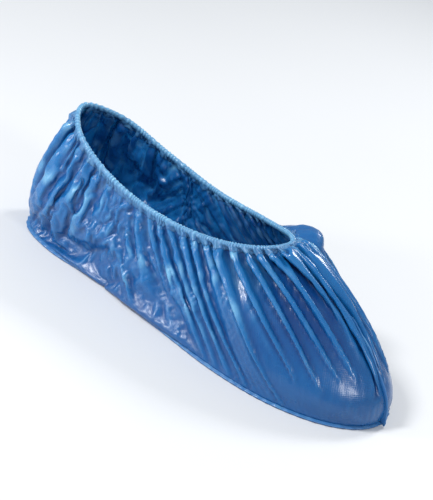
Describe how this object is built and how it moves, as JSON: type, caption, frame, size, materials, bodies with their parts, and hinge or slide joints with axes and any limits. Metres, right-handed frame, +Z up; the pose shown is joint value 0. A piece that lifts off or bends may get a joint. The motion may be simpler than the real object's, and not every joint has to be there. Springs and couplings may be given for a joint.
{
  "type": "disposable shoe cover",
  "caption": "Thin blue film overshoe with a flat sole panel, a gathered upper and an elastic hem round the foot opening.",
  "frame": {"origin": "on the floor under the middle of the cover's bounding box", "axes": "+X towards the toe, +Y to the wearer's left when the cover is on, +Z up out of the opening"},
  "size_m": [0.3094, 0.1112, 0.0946],
  "materials": {
    "film": "soft blue film with a fine embossed grain, semi-gloss, creased at the gathers",
    "sole_film": "the same film pulled flat, a little darker, with a paler welded edge",
    "hem_film": "doubled film, paler where the white elastic shows through",
    "elastic": "thin white elastic cord, matt"
  },
  "bodies": {
    "root": {"sole_panel": "sole_film", "gathered_upper": "film", "folded_hem": "hem_film", "elastic_band": "elastic"}
  },
  "joints": []
}
